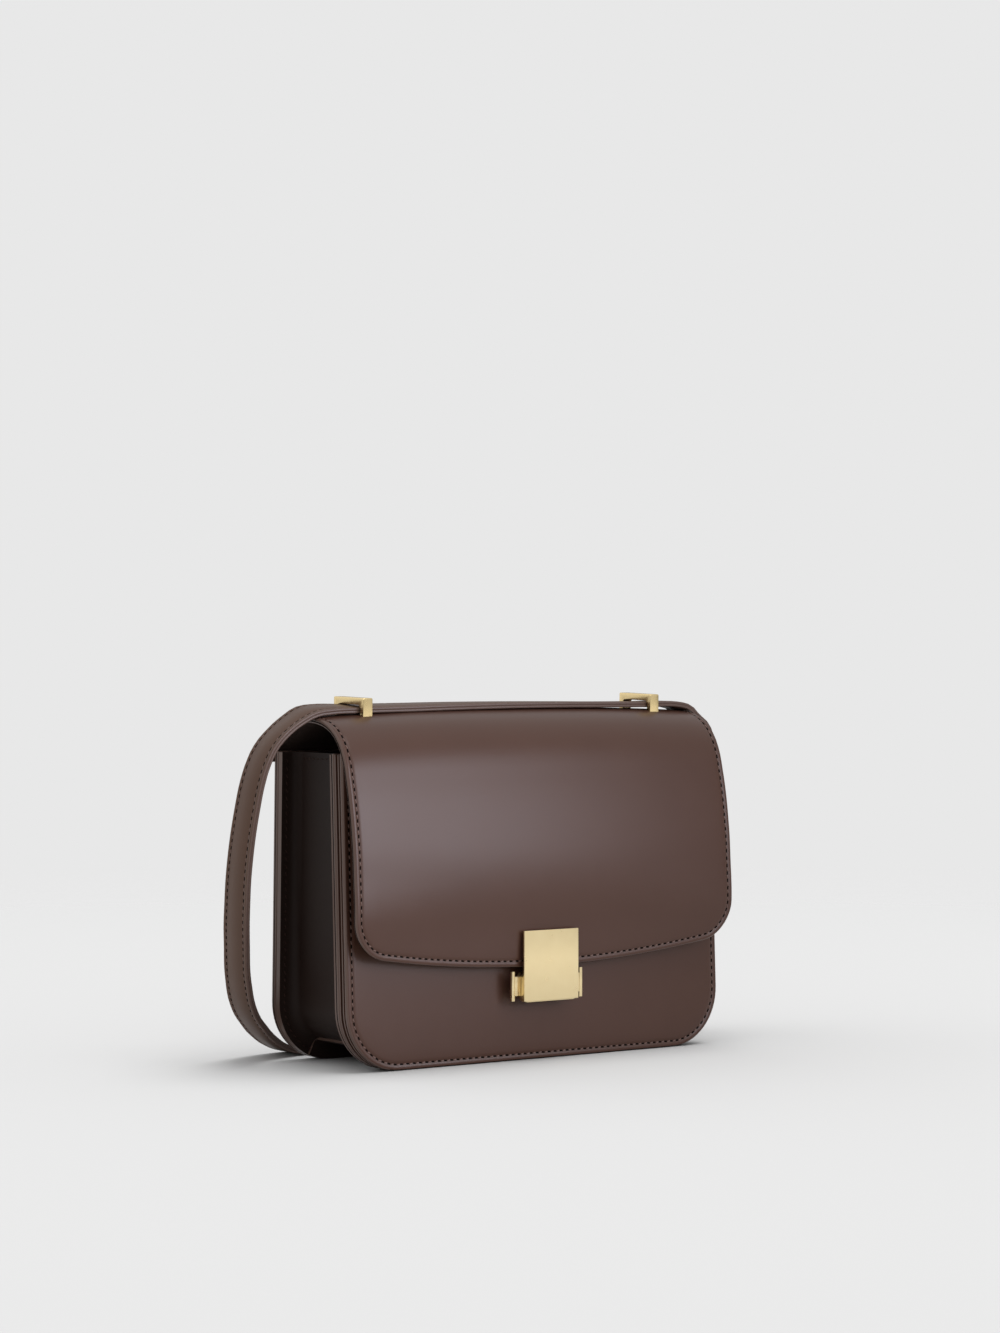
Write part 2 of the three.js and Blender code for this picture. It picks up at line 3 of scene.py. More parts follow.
import bmesh
import bpy
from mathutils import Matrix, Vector


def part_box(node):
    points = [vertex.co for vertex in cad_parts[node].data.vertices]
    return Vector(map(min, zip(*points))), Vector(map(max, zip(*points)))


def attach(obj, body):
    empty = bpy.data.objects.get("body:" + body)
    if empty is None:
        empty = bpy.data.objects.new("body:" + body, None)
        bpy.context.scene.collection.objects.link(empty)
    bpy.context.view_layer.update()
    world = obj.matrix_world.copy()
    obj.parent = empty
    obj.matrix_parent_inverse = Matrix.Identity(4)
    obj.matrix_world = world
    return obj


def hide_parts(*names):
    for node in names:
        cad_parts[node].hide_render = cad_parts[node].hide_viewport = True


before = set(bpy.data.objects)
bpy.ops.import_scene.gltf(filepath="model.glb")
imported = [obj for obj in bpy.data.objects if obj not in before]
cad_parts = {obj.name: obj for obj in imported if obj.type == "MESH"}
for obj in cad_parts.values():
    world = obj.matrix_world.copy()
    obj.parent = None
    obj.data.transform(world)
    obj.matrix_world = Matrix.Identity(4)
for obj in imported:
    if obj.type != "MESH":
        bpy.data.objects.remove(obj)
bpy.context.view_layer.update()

# Camera: a long lens at the bag's front left, a little above its top, where the photograph was taken from.
# It looks down by about half a degree.
camera_place = (-1.1196, -1.4955, 0.2232)
camera_dip, camera_side = 0.575, -36.2
camera_turn = (radians(90 - camera_dip), 0, radians(camera_side))

bpy.ops.object.select_all(action="DESELECT")
bpy.ops.object.camera_add(location=camera_place, rotation=camera_turn)
camera = bpy.context.object
camera.data.lens = 96.77
camera.data.sensor_width = 36
camera.data.clip_end = 50
bpy.context.scene.camera = camera
bpy.context.scene.view_settings.view_transform = "Standard"

# Studio: a pale matt floor that fades into a background of its own tone, in a room that is brightest overhead
# and at the rear left. The reflection of a soft box lies on the flap, and a white card lights the brass
# instead. A sun overhead lights the floor alone, which gives the contact shadow its depth.
floor_reach = 3.0
fade_start, fade_end = 0.45, 1.6
floor_tone = 0.50
floor_glow = 0.79
background_tone = (0.807, 0.807, 0.807, 1)
horizon_light = 0.22
ceiling_light = 1.15
rear_left_light = 0.65
rear_left_way = (-0.72, 0.69, 0)

bpy.ops.mesh.primitive_circle_add(vertices=96, radius=floor_reach, fill_type="NGON", location=(0, 0, 0))
floor = bpy.context.object
floor.name = "studio_floor"
floor_paint = bpy.data.materials.new("studio_floor")
floor_paint.use_nodes = True
nodes, links = floor_paint.node_tree.nodes, floor_paint.node_tree.links
floor_shader = nodes["Principled BSDF"]
floor_shader.inputs["Base Color"].default_value = (floor_tone, floor_tone, floor_tone, 1)
floor_shader.inputs["Roughness"].default_value = 1
floor_shader.inputs["Specular IOR Level"].default_value = 0
place = nodes.new("ShaderNodeTexCoord")
reach = nodes.new("ShaderNodeVectorMath")
reach.operation = "LENGTH"
links.new(place.outputs["Object"], reach.inputs[0])
fade = nodes.new("ShaderNodeMapRange")
fade.interpolation_type = "SMOOTHSTEP"
fade.inputs["From Min"].default_value = fade_start
fade.inputs["From Max"].default_value = fade_end
fade.inputs["To Min"].default_value = 1
fade.inputs["To Max"].default_value = 0
links.new(reach.outputs["Value"], fade.inputs["Value"])
links.new(fade.outputs["Result"], floor_shader.inputs["Alpha"])
floor.data.materials.append(floor_paint)

room = bpy.data.worlds.new("studio_room")
bpy.context.scene.world = room
room.use_nodes = True
nodes, links = room.node_tree.nodes, room.node_tree.links
seen = nodes["Background"]
seen.inputs["Color"].default_value = background_tone
around = nodes.new("ShaderNodeTexCoord")
height = nodes.new("ShaderNodeSeparateXYZ")
links.new(around.outputs["Generated"], height.inputs["Vector"])
dome = nodes.new("ShaderNodeMapRange")
dome.inputs["To Min"].default_value = horizon_light
dome.inputs["To Max"].default_value = ceiling_light
links.new(height.outputs["Z"], dome.inputs["Value"])
rear_left = nodes.new("ShaderNodeVectorMath")
rear_left.operation = "DOT_PRODUCT"
rear_left.inputs[1].default_value = rear_left_way
links.new(around.outputs["Generated"], rear_left.inputs[0])
side = nodes.new("ShaderNodeMapRange")
side.inputs["To Max"].default_value = rear_left_light
links.new(rear_left.outputs["Value"], side.inputs["Value"])
fill = nodes.new("ShaderNodeMath")
links.new(dome.outputs["Result"], fill.inputs[0])
links.new(side.outputs["Result"], fill.inputs[1])
below = nodes.new("ShaderNodeMath")
below.operation = "LESS_THAN"
links.new(height.outputs["Z"], below.inputs[0])
below.inputs[1].default_value = 0
bounce = nodes.new("ShaderNodeMix")
links.new(below.outputs["Value"], bounce.inputs["Factor"])
links.new(fill.outputs["Value"], bounce.inputs["A"])
bounce.inputs["B"].default_value = floor_glow
lit = nodes.new("ShaderNodeBackground")
lit.inputs["Color"].default_value = (1, 1, 1, 1)
links.new(bounce.outputs["Result"], lit.inputs["Strength"])
path = nodes.new("ShaderNodeLightPath")
mix = nodes.new("ShaderNodeMixShader")
links.new(path.outputs["Is Camera Ray"], mix.inputs["Fac"])
links.new(lit.outputs["Background"], mix.inputs[1])
links.new(seen.outputs["Background"], mix.inputs[2])
links.new(mix.outputs["Shader"], nodes["World Output"].inputs["Surface"])


def toward(azimuth, elevation):
    """The direction from the bag to a light, by compass angle from the front and height above the floor."""
    a, e = radians(azimuth), radians(elevation)
    return Vector((sin(a) * cos(e), -cos(a) * cos(e), sin(e)))


def add_light(kind, name, place, away, energy):
    """A light at its place, which shines against the direction away."""
    bpy.ops.object.select_all(action="DESELECT")
    bpy.ops.object.light_add(type=kind, location=place)
    light = bpy.context.object
    light.name = name
    light.rotation_euler = away.to_track_quat("Z", "Y").to_euler()
    light.data.energy = energy
    return light


def add_sun(name, away, energy, angle):
    """A distant light, which is softer the wider its angle."""
    sun = add_light("SUN", name, away * 3, away, energy)
    sun.data.angle = radians(angle)
    return sun


def add_panel(name, place, away, size, energy):
    """A flat light of a given width and height, which the camera doesn't see."""
    panel = add_light("AREA", name, place, away, energy)
    panel.visible_camera = False
    panel.data.shape = "RECTANGLE"
    panel.data.size, panel.data.size_y = size
    return panel


add_sun("even_light", toward(azimuth=20, elevation=62), energy=0.35, angle=20)
floor_light = add_sun("floor_light", toward(azimuth=80, elevation=80), energy=1.86, angle=38)
on_floor = bpy.data.collections.new("lit_by_floor_light")
on_floor.objects.link(floor)
floor_light.light_linking.receiver_collection = on_floor

box_place = Vector((0.10, -0.55, 0.27))
box_way = Vector((0.41, -0.55, 0.08))
soft_box = add_panel("soft_box", box_place, box_way, size=(0.50, 0.36), energy=1.30)
soft_box.data.spread = radians(100)
soft_box.data.color = (0.89, 0.90, 1.0)
off_box = bpy.data.collections.new("not_lit_by_soft_box")
off_box.objects.link(floor)
off_box.collection_objects[0].light_linking.link_state = "EXCLUDE"
soft_box.light_linking.receiver_collection = off_box

card_place = Vector((0.27, -0.50, 0.12))
card_aim = Vector((0, 0, 0.05))
card = add_panel("white_card", card_place, card_place - card_aim, size=(0.70, 0.50), energy=0.40)
on_card = bpy.data.collections.new("lit_by_white_card")
card.light_linking.receiver_collection = on_card


# Front panel: stiffened box calf in dark taupe, lined with suede, its edge rounded and painted and a crease
# pressed in for the stitches. Cut flat, sewn, then stood up leaning back, its foot on the floor.
half_width = 0.120
body_height = 0.161
panel_corner = 0.031
front_foot = -0.0016
front_lean = 0.038
edge_round = 0.0011
seam_in = 0.0031
crease_half = 0.0004
crease_depth = 0.00028
stitch_pitch = 0.0039
stitch_long = 0.0022
thread_thick = 0.00074
# Height of the band along each panel's foot whose edge is painted dark as contact shade.
foot_shade_band = 0.0009
glue_half, glue_deep = 0.0004, 0.0004
stitch_slant = 20
hole_size, hole_deep = (0.0017, 0.0026), 0.0006
hole_turn, hole_rise = -35, 0.00004
front_thick = 0.0032
panel_swell = 0.0003
swell_shares = (0.45, 0.3, 0.17, 0.08)
swell_band, swell_spread = 0.0012, 0.004
pore_depth = 0.0002


def hide_group():
    """Pores and fine creases of the hide as a height, and its slow drift as a mottle."""
    group = bpy.data.node_groups.new("hide_grain", "ShaderNodeTree")
    group.interface.new_socket("Pore Size", in_out="INPUT", socket_type="NodeSocketFloat")
    group.interface.new_socket("Height", in_out="OUTPUT", socket_type="NodeSocketFloat")
    group.interface.new_socket("Mottle", in_out="OUTPUT", socket_type="NodeSocketFloat")
    nodes, links = group.nodes, group.links
    given = nodes.new("NodeGroupInput")
    result = nodes.new("NodeGroupOutput")
    place = nodes.new("ShaderNodeTexCoord")
    pores = nodes.new("ShaderNodeTexVoronoi")
    pores.feature = "DISTANCE_TO_EDGE"
    links.new(place.outputs["Object"], pores.inputs["Vector"])
    links.new(given.outputs["Pore Size"], pores.inputs["Scale"])
    pore_edge = nodes.new("ShaderNodeMapRange")
    pore_edge.inputs["From Max"].default_value = 0.15
    links.new(pores.outputs["Distance"], pore_edge.inputs["Value"])
    fine = nodes.new("ShaderNodeTexNoise")
    fine.inputs["Scale"].default_value = 420
    fine.inputs["Detail"].default_value = 4
    links.new(place.outputs["Object"], fine.inputs["Vector"])
    height = nodes.new("ShaderNodeMath")
    height.operation = "MULTIPLY_ADD"
    height.inputs[1].default_value = 0.3
    links.new(pore_edge.outputs["Result"], height.inputs[0])
    links.new(fine.outputs["Fac"], height.inputs[2])
    links.new(height.outputs["Value"], result.inputs["Height"])
    slow = nodes.new("ShaderNodeTexNoise")
    slow.inputs["Scale"].default_value = 22
    slow.inputs["Detail"].default_value = 5
    slow.inputs["Roughness"].default_value = 0.6
    links.new(place.outputs["Object"], slow.inputs["Vector"])
    links.new(slow.outputs["Fac"], result.inputs["Mottle"])
    return group


hide_grain = hide_group()


def finish(name, group, drift, deep, light, smooth_rough, dull_rough, relief, depth):
    """A material whose colour and gloss drift with one mask of a group, over the group's fine relief."""
    paint = bpy.data.materials.new(name)
    paint.use_nodes = True
    nodes, links = paint.node_tree.nodes, paint.node_tree.links
    shader = nodes["Principled BSDF"]
    surface = nodes.new("ShaderNodeGroup")
    surface.node_tree = group
    tint = nodes.new("ShaderNodeMix")
    tint.data_type = "RGBA"
    tint.inputs["A"].default_value = (*deep, 1)
    tint.inputs["B"].default_value = (*light, 1)
    links.new(surface.outputs[drift], tint.inputs["Factor"])
    links.new(tint.outputs["Result"], shader.inputs["Base Color"])
    gloss = nodes.new("ShaderNodeMapRange")
    gloss.inputs["To Min"].default_value = smooth_rough
    gloss.inputs["To Max"].default_value = dull_rough
    links.new(surface.outputs[drift], gloss.inputs["Value"])
    links.new(gloss.outputs["Result"], shader.inputs["Roughness"])
    bump = nodes.new("ShaderNodeBump")
    bump.inputs["Strength"].default_value = relief
    bump.inputs["Distance"].default_value = depth
    links.new(surface.outputs["Height"], bump.inputs["Height"])
    links.new(bump.outputs["Normal"], shader.inputs["Normal"])
    return paint, shader, surface


def leather(name, deep, light, smooth_rough, dull_rough, relief, pore_size=1500, shine=0.30):
    """A leather whose colour and gloss drift a little over the hide."""
    paint, shader, hide = finish(
        name, hide_grain, "Mottle", deep, light, smooth_rough, dull_rough, relief, pore_depth
    )
    hide.inputs["Pore Size"].default_value = pore_size
    shader.inputs["Specular IOR Level"].default_value = shine
    return paint


calf = leather("taupe_calf", (0.0531, 0.0236, 0.0154), (0.0633, 0.0285, 0.0187), 0.32, 0.38, 0.08)
edge_paint = leather("edge_paint", (0.085, 0.052, 0.040), (0.100, 0.062, 0.050), 0.30, 0.40, 0.05)
suede = leather("suede_lining", (0.040, 0.026, 0.022), (0.055, 0.037, 0.031), 0.85, 0.95, 0.5, 2600, 0.1)
thread = leather("waxed_thread", (0.105, 0.062, 0.050), (0.140, 0.084, 0.068), 0.40, 0.52, 0.1)
# Near black for the glue line between layers, and as painted contact shade on the edge at the foot.
glue_line_and_foot_shade = leather("glue_line_and_painted_foot_shade", (0.012, 0.007, 0.005), (0.020, 0.012, 0.009), 0.60, 0.75, 0.1, 1500, 0.1)
# Near black for the stitch holes, as painted shade.
hole_shade = leather("painted_hole_shade", (0.004, 0.003, 0.0025), (0.008, 0.006, 0.005), 0.85, 0.95, 0.1, 1500, 0)


def only(piece):
    """Makes a piece the only one selected."""
    bpy.ops.object.select_all(action="DESELECT")
    piece.select_set(True)
    bpy.context.view_layer.objects.active = piece


def work_on(piece):
    """Takes a piece, alone, into edit mode."""
    only(piece)
    bpy.ops.object.mode_set(mode="EDIT")


def put_down():
    """Takes the piece in hand out of edit mode."""
    bpy.ops.object.mode_set(mode="OBJECT")


def pick(kind, test):
    """Selects, in edit mode, just the corners, edges or faces that pass a test."""
    bpy.ops.mesh.select_mode(type=kind)
    bpy.ops.mesh.select_all(action="DESELECT")
    mesh = bmesh.from_edit_mesh(bpy.context.object.data)
    for item in {"VERT": mesh.verts, "EDGE": mesh.edges, "FACE": mesh.faces}[kind]:
        if test(item):
            item.select_set(True)
    mesh.select_flush_mode()
    bmesh.update_edit_mesh(bpy.context.object.data)


def flat(edge, level=None):
    """Whether an edge lies level, at a given height if one is named."""
    a, b = (v.co.z for v in edge.verts)
    return abs(a - b) < 1e-6 and (level is None or abs(a - level) < 1e-6)


def start(name, add, size, place):
    """A primitive at its size and place, left in edit mode and selected all over."""
    bpy.ops.object.select_all(action="DESELECT")
    add(size=1, location=(0, 0, 0))
    piece = bpy.context.object
    piece.name = piece.data.name = name
    work_on(piece)
    bpy.ops.mesh.select_all(action="SELECT")
    bpy.ops.transform.resize(value=size, center_override=(0, 0, 0))
    bpy.ops.transform.translate(value=place)
    return piece


def blank(name, width, height, corner):
    """A flat cut piece, its foot at y = 0 and its corners rounded, left in edit mode."""
    piece = start(name, bpy.ops.mesh.primitive_plane_add, (width, height, 1), (0, height / 2, 0))
    pick("VERT", lambda v: v.co.y < height / 2)
    bpy.ops.mesh.bevel(offset=corner, segments=16, affect="VERTICES")
    return piece


def seam_line(piece):
    """The seam's path on a flat piece: down one side, round the foot and up the other."""
    put_down()
    only(piece)
    bpy.ops.object.duplicate()
    line = bpy.context.object
    work_on(line)
    bpy.ops.mesh.select_mode(type="FACE")
    bpy.ops.mesh.select_all(action="SELECT")
    bpy.ops.mesh.inset(thickness=seam_in, depth=0)
    bpy.ops.mesh.select_all(action="INVERT")
    bpy.ops.mesh.delete(type="FACE")
    top = max(v.co.y for v in bmesh.from_edit_mesh(line.data).verts)
    pick("EDGE", lambda e: all(v.co.y > top - 1e-6 for v in e.verts))
    bpy.ops.mesh.delete(type="EDGE")
    put_down()
    bpy.ops.object.convert(target="CURVE")
    line = bpy.context.object
    line.data.twist_mode = "Z_UP"
    work_on(piece)
    return line


def carry(distance):
    """Lengthens what is selected of the piece in hand in a straight line."""
    bpy.ops.mesh.extrude_region_move(TRANSFORM_OT_translate={"value": distance})


def face_out():
    """Turns the faces of the piece in hand outwards."""
    bpy.ops.mesh.select_all(action="SELECT")
    bpy.ops.mesh.normals_make_consistent(inside=False)


def thicken(thick, rounding, join=0):
    """Gives a flat piece its thickness upwards and rounds its rims; join is the level of a glue line."""
    bpy.ops.mesh.select_all(action="SELECT")
    if join:
        carry((0, 0, join))
    carry((0, 0, thick - join))
    pick("EDGE", lambda e: flat(e, 0) or flat(e, thick))
    bpy.ops.mesh.bevel(offset=rounding, segments=3, affect="EDGES")
    if join:
        pick("EDGE", lambda e: flat(e, join))
        bpy.ops.mesh.bevel(offset=glue_half, segments=2, affect="EDGES")
        face_out()
        pick("VERT", lambda v: abs(v.co.z - join) < 1e-6)
        bpy.ops.transform.shrink_fatten(value=-glue_deep)
    face_out()


def press_crease(level, rounding, swell):
    """Presses the groove for the stitches into one face, and swells the leather softly inside it."""
    pick("FACE", lambda f: abs(f.normal.z) > 0.99 and abs(f.calc_center_median().z - level) < 1e-5)
    bpy.ops.mesh.inset(thickness=seam_in - 2 * crease_half - rounding, depth=0)
    bpy.ops.mesh.inset(thickness=crease_half, depth=-crease_depth)
    bpy.ops.mesh.inset(thickness=2 * crease_half, depth=0)
    bpy.ops.mesh.inset(thickness=crease_half, depth=crease_depth)
    for share in swell_shares:
        bpy.ops.mesh.inset(thickness=swell_band + swell_spread * (0.5 - share), depth=swell * share)


def dress(piece, thick, face=calf, join=-1):
    """Gives a flat piece its face, painted edge, suede back, dark glue line and painted shade at the foot."""
    put_down()
    for coat in (face, edge_paint, suede, glue_line_and_foot_shade):
        piece.data.materials.append(coat)
    for polygon in piece.data.polygons:
        if abs(polygon.center.z - join) < glue_half and abs(polygon.normal.z) < 0.99:
            polygon.material_index = 3
        elif abs(polygon.normal.z) < 0.8:
            # Edge faces low along the foot take the near black as painted contact shade.
            polygon.material_index = 3 if polygon.center.y < foot_shade_band and polygon.normal.y < -0.2 else 1
        elif polygon.center.z < thick / 2:
            polygon.material_index = 2


def soften(piece, angle=40):
    """Shades a piece smooth across its gentle edges."""
    only(piece)
    bpy.ops.object.shade_smooth_by_angle(angle=radians(angle))


def settle(piece, place=(0, 0, 0), turn=(0, 0, 0)):
    """Puts a piece in its place and works that into its mesh."""
    only(piece)
    piece.location = place
    piece.rotation_euler = turn
    bpy.ops.object.transform_apply(location=True, rotation=True, scale=True)


def take_shape(piece):
    """Works a piece's modifiers into its mesh."""
    only(piece)
    for modifier in list(piece.modifiers):
        bpy.ops.object.modifier_apply(modifier=modifier.name)


def one_stitch(name):
    """A stitch along X: a slanted bead of waxed thread and the hole it comes out of, painted near black as
    shade.
    """
    bpy.ops.object.select_all(action="DESELECT")
    bpy.ops.mesh.primitive_uv_sphere_add(segments=6, ring_count=5, radius=0.5, rotation=(0, pi / 2, 0))
    stitch = bpy.context.object
    stitch.name = stitch.data.name = name
    stitch.scale = (thread_thick, thread_thick, stitch_long)
    bpy.ops.object.transform_apply(location=True, rotation=True, scale=True)
    settle(stitch, (stitch_pitch / 2, 0, 0), (0, 0, radians(stitch_slant)))
    stitch.data.materials.append(thread)
    stitch.data.materials.append(hole_shade)
    work_on(stitch)
    bpy.ops.mesh.select_all(action="DESELECT")
    bpy.ops.mesh.primitive_cone_add(
        vertices=8, radius1=0, radius2=0.5, depth=hole_deep, end_fill_type="NGON",
        location=(0, 0, hole_rise - hole_deep / 2),
    )
    bpy.ops.transform.resize(value=(*hole_size, 1), center_override=(0, 0, 0))
    bpy.ops.transform.rotate(value=radians(hole_turn), orient_axis="Z", center_override=(0, 0, 0))
    stitch.active_material_index = 1
    bpy.ops.object.material_slot_assign()
    put_down()
    return stitch


def repeat(piece, count, pitch):
    """Sets copies of a piece in a row along X."""
    array = piece.modifiers.new("row", "ARRAY")
    array.count = count
    array.use_relative_offset = False
    array.use_constant_offset = True
    array.constant_offset_displace = (pitch, 0, 0)
    return array


def bend_along(piece, line):
    """Bends a piece along a line, with all its copies."""
    bend = piece.modifiers.new("along", "CURVE")
    bend.object = line
    take_shape(piece)


def sew(name, line, level):
    """A row of stitches along a seam's path, in its crease."""
    row = one_stitch(name)
    long = line.data.splines[0].calc_length()
    count = round(long / stitch_pitch)
    repeat(row, count, long / count)
    bend_along(row, line)
    bpy.data.objects.remove(line)
    settle(row, (0, 0, level))
    soften(row, 60)
    return row


front_panel = blank("front_panel_leather", 2 * half_width, body_height, panel_corner)
front_seam = seam_line(front_panel)
thicken(front_thick, edge_round)
press_crease(front_thick, edge_round, panel_swell)
dress(front_panel, front_thick)
soften(front_panel)
front_thread = sew("front_panel_thread", front_seam, front_thick - crease_depth)
for piece in (front_panel, front_thread):
    settle(piece, (0, front_foot + front_thick, 0), (pi / 2 - atan(front_lean), 0, 0))
    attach(piece, "bag")
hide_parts("front_panel")


# Middle panel: the wall between the slip pocket and the main compartment, a stiff board faced with suede on
# both sides. Only its painted edge shows, between the pocket's strip and the gusset.
middle_thick = 0.0024
middle_round = 0.0006
middle_behind = 0.0076

middle_panel = blank("middle_panel_leather", 2 * half_width, body_height, panel_corner)
thicken(middle_thick, middle_round)
dress(middle_panel, middle_thick, face=suede)
soften(middle_panel)
settle(middle_panel, (0, front_foot + middle_behind + middle_thick, 0), (pi / 2 - atan(front_lean), 0, 0))
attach(middle_panel, "bag")
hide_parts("middle_panel")


# Back panel: two thicknesses of leather glued together and lined with suede, the stiffest wall of the bag.
# The flap is laid over its upper part and sewn down, and the gusset is sewn to its inner side.
back_foot = 0.0716
back_lean = 0.022
back_thick = 0.0044
back_join = 0.0022

back_panel = blank("back_panel_leather", 2 * half_width, body_height, panel_corner)
back_seam = seam_line(back_panel)
thicken(back_thick, edge_round, back_join)
press_crease(back_thick, edge_round, panel_swell)
dress(back_panel, back_thick, join=back_join)
soften(back_panel)
back_thread = sew("back_panel_thread", back_seam, back_thick - crease_depth)
for piece in (back_panel, back_thread):
    settle(piece, (0, back_foot - back_thick, 0), (pi / 2 - atan(back_lean), 0, pi))
    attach(piece, "bag")
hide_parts("back_panel")


# Pocket strip: thin calf folded to a U between the front and middle panels, open outwards, following both
# sides and the foot. Its two leaves are glued and painted with the edges of the panels.
strip_top = 0.1605
strip_front, strip_back = 0.0019, 0.0057
strip_wall = (0.008, 0.009)
strip_leaf = (0.001, 0.001)
strip_fillet = 0.0008
center_in = half_width - panel_corner
body_middle = 0.035


def slice_at(place, normal):
    """Cuts the piece in hand through at one plane, and keeps both sides."""
    bpy.ops.mesh.select_all(action="SELECT")
    bpy.ops.mesh.bisect(plane_co=place, plane_no=normal)


def fold_section(name, wall, front, back, leaf, fillet):
    """A flat U open to -X, its outer ends on the panels' outline, with the corner's centre at the origin."""
    near, far = wall[0] - panel_corner, wall[1] - panel_corner
    middle = ((near + far) / 2, (front + back) / 2, 0)
    piece = start(name, bpy.ops.mesh.primitive_plane_add, (far - near, back - front, 1), middle)
    for y in (front + leaf[0], back - leaf[1]):
        slice_at((0, y, 0), (0, 1, 0))
    low, high = front + leaf[0] - 1e-6, back - leaf[1] + 1e-6

    def at_leaf(edge):
        middle = (edge.verts[0].co + edge.verts[1].co) / 2
        return abs(middle.x - near) < 1e-6 and not low < middle.y < high

    pick("EDGE", at_leaf)
    carry((-wall[0], 0, 0))
    bpy.ops.mesh.select_all(action="SELECT")
    bpy.ops.mesh.dissolve_faces()
    pick("VERT", lambda v: abs(v.co.x - near) < 1e-6 and low < v.co.y < high)
    bpy.ops.mesh.bevel(offset=fillet, segments=4, affect="VERTICES")
    bpy.ops.mesh.select_all(action="SELECT")
    return piece


def turn_corner(angle, steps, center, axis=(0, 1, 0)):
    """Carries the selected end of a strip round a corner."""
    bpy.ops.mesh.spin(steps=steps, angle=radians(angle), center=center, axis=axis)


def lean(piece):
    """Leans a strip with its panels, its front half with the front panel and the rest with the back one."""
    for vertex in piece.data.vertices:
        slope = front_lean if vertex.co.y < body_middle else -back_lean
        vertex.co.y += slope * vertex.co.z


def trim(gap=1e-6):
    """Closes the mesh in hand, turns its faces outwards and leaves edit mode."""
    bpy.ops.mesh.select_all(action="SELECT")
    bpy.ops.mesh.remove_doubles(threshold=gap)
    face_out()
    put_down()


def paint_rims(piece):
    """Paints a strip's cut edges, which lie on the panels' outline, like the edges of the panels."""
    piece.data.materials.append(edge_paint)
    for polygon in piece.data.polygons:
        out = max(0, abs(polygon.center.x) - center_in)
        down = max(0, panel_corner - polygon.center.z)
        if hypot(out, down) > panel_corner - 0.0001:
            polygon.material_index = 1


def fit(piece, hide):
    """Gives a strip its leather and painted rims and sets it between the panels."""
    trim()
    piece.data.materials.append(hide)
    settle(piece, (-center_in, 0, panel_corner))
    paint_rims(piece)
    lean(piece)
    soften(piece)


pocket_strip = fold_section(
    "pocket_strip_leather", strip_wall, strip_front, strip_back, strip_leaf, strip_fillet
)
carry((0, 0, strip_top - panel_corner))
pick("FACE", lambda f: f.calc_center_median().z < 1e-6)
turn_corner(90, 12, (0, 0, 0))
carry((2 * center_in, 0, 0))
turn_corner(90, 12, (2 * center_in, 0, 0))
carry((0, 0, strip_top - panel_corner))
fit(pocket_strip, calf)
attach(pocket_strip, "bag")
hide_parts("pocket_gusset")


# Gusset sides: supple calf in a trough, darker than the panels partly in its own tone and partly as painted
# shade of its recess. Its outer ends are sewn between the panels and its wall is set in by a centimetre.
# Each side hangs from the top hem down round the lower corner, under the end of the bottom piece.
gusset_front, gusset_back = 0.0087, 0.0669
gusset_wall = (0.010, 0.0116)
gusset_leaf = (0.0014, 0.0032)
gusset_fillet = 0.005
side_turn = 64
hem_back = 0.0556
hem_row = 9 * stitch_pitch
# Darker than the panels' calf, partly in its own tone and partly as painted shade of the recessed wall.
gusset_calf_and_shade = leather(
    "gusset_calf_and_shade", (0.014, 0.0078, 0.006), (0.018, 0.0102, 0.008), 0.45, 0.55, 0.12, 1500, 0.12
)

left_gusset = fold_section(
    "gusset_left_leather", gusset_wall, gusset_front, gusset_back, gusset_leaf, gusset_fillet
)
carry((0, 0, strip_top - panel_corner))
pick("FACE", lambda f: f.calc_center_median().z < 1e-6)
turn_corner(side_turn, 10, (0, 0, 0))
fit(left_gusset, gusset_calf_and_shade)
only(left_gusset)
bpy.ops.object.duplicate()
right_gusset = bpy.context.object
right_gusset.name = right_gusset.data.name = "gusset_right_leather"
right_gusset.scale = (-1, 1, 1)
settle(right_gusset)
work_on(right_gusset)
trim()
for piece, node in ((left_gusset, "gusset_left"), (right_gusset, "gusset_right")):
    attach(piece, "bag")
    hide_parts(node)


def bend_line(name, points, turn, closed=False):
    """A smooth line through points drawn in its own frame, for a piece to be bent along."""
    bpy.ops.object.select_all(action="DESELECT")
    bpy.ops.curve.primitive_bezier_curve_add(location=(0, 0, 0))
    line = bpy.context.object
    line.name = name
    line.data.twist_mode = "Z_UP"
    line.data.resolution_u = 24
    spline = line.data.splines[0]
    spline.bezier_points.add(len(points) - 2)
    for point, place in zip(spline.bezier_points, points):
        point.co = place
        point.handle_left_type = point.handle_right_type = "AUTO"
    spline.use_cyclic_u = closed
    line.rotation_euler = turn
    bpy.context.view_layer.update()
    return line


def join_up(name, pieces):
    """Makes one piece of several, under a name of its own."""
    only(pieces[0])
    for piece in pieces[1:]:
        piece.select_set(True)
    bpy.ops.object.join()
    whole = bpy.context.object
    whole.name = whole.data.name = name
    return whole


seam_card = blank("seam_card", 2 * half_width, body_height, panel_corner)
leaf_rows = []
for name, place, turn in (
    ("back_leaf_row", (0, gusset_back - gusset_leaf[1], 0), (pi / 2 + atan(back_lean), 0, 0)),
    ("front_leaf_row", (0, gusset_front + gusset_leaf[0], 0), (pi / 2 + atan(front_lean), 0, pi)),
):
    line = seam_line(seam_card)
    put_down()
    row = sew(name, line, 0)
    settle(row, place, turn)
    leaf_rows.append(row)
bpy.data.objects.remove(seam_card)
hem_out, hem_up = half_width - gusset_wall[0], strip_top - seam_in
for name, place, turn in (
    ("left_hem_row", (-hem_out, hem_back, hem_up), (pi / 2, 0, -pi / 2)),
    ("right_hem_row", (hem_out, hem_back - hem_row, hem_up), (pi / 2, 0, pi / 2)),
):
    row = sew(name, bend_line(name, [(0, 0, 0), (hem_row, 0, 0)], (0, 0, 0)), 0)
    settle(row, place, turn)
    leaf_rows.append(row)
gusset_thread = join_up("gusset_thread", leaf_rows)
